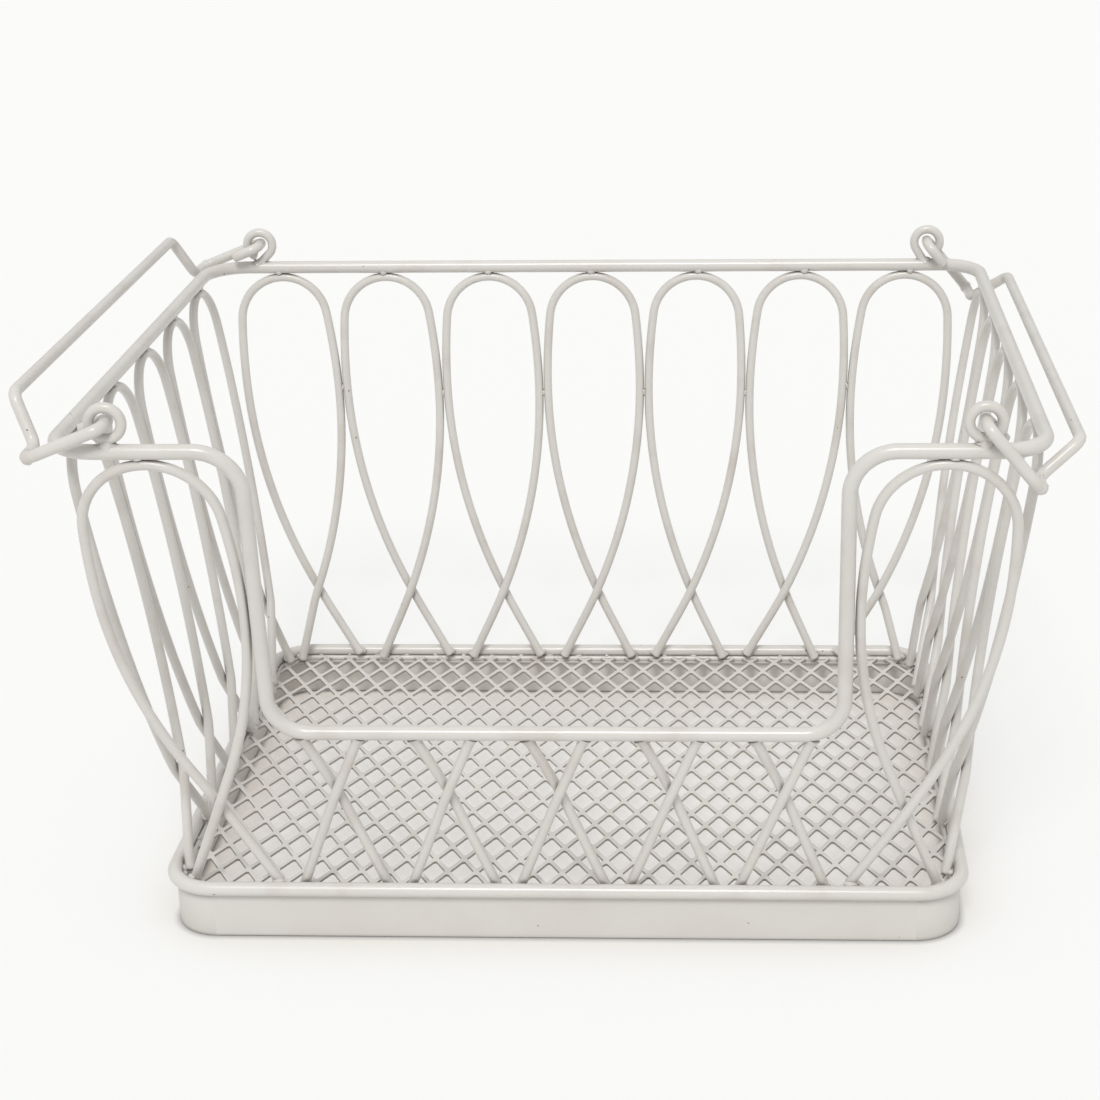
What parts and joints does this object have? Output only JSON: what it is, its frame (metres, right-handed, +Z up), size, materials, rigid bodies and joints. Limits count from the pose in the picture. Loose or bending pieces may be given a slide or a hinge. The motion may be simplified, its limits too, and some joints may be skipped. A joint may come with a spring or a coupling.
{
  "type": "wire locker basket",
  "caption": "Open-top wire basket of crossed steel hoops on a mesh floor, with a cut-out front and two swinging wire handles.",
  "frame": {"origin": "middle of the base, on the surface the basket stands on", "axes": "+Z up, +X to the right-hand handle, -Y towards the cut-out front"},
  "size_m": [0.5431, 0.398, 0.3196],
  "materials": {
    "painted_wire": "semi_gloss"
  },
  "bodies": {
    "basket": {"base_band": "painted_wire", "base_rim": "painted_wire", "floor_border": "painted_wire", "floor_mesh": "painted_wire", "top_rim": "painted_wire", "back_hoop_1": "painted_wire", "back_hoop_2": "painted_wire", "back_hoop_3": "painted_wire", "back_hoop_4": "painted_wire", "back_hoop_5": "painted_wire", "back_hoop_6": "painted_wire", "back_hoop_7": "painted_wire", "left_hoop_1": "painted_wire", "left_hoop_2": "painted_wire", "left_hoop_3": "painted_wire", "left_hoop_4": "painted_wire", "left_hoop_5": "painted_wire", "right_hoop_1": "painted_wire", "right_hoop_2": "painted_wire", "right_hoop_3": "painted_wire", "right_hoop_4": "painted_wire", "right_hoop_5": "painted_wire", "front_hoop_left": "painted_wire", "front_hoop_right": "painted_wire", "front_strut_1": "painted_wire", "front_strut_2": "painted_wire", "front_strut_3": "painted_wire", "front_strut_4": "painted_wire", "front_strut_5": "painted_wire", "front_strut_6": "painted_wire", "front_strut_7": "painted_wire", "front_strut_8": "painted_wire", "front_strut_9": "painted_wire", "front_strut_10": "painted_wire", "eye_front_left": "painted_wire", "eye_front_right": "painted_wire", "eye_rear_left": "painted_wire", "eye_rear_right": "painted_wire"},
    "left_handle_body": {"left_handle": "painted_wire"},
    "right_handle_body": {"right_handle": "painted_wire"}
  },
  "joints": [
    {"name": "left_handle_swing", "type": "hinge", "parent": "basket", "child": "left_handle_body", "pos_m": [-0.21725, 0, 0.30799], "axis": [0, 1, 0], "range_deg": [-30, 210]},
    {"name": "right_handle_swing", "type": "hinge", "parent": "basket", "child": "right_handle_body", "pos_m": [0.21725, 0, 0.30799], "axis": [0, 1, 0], "range_deg": [-238, 2]}
  ]
}
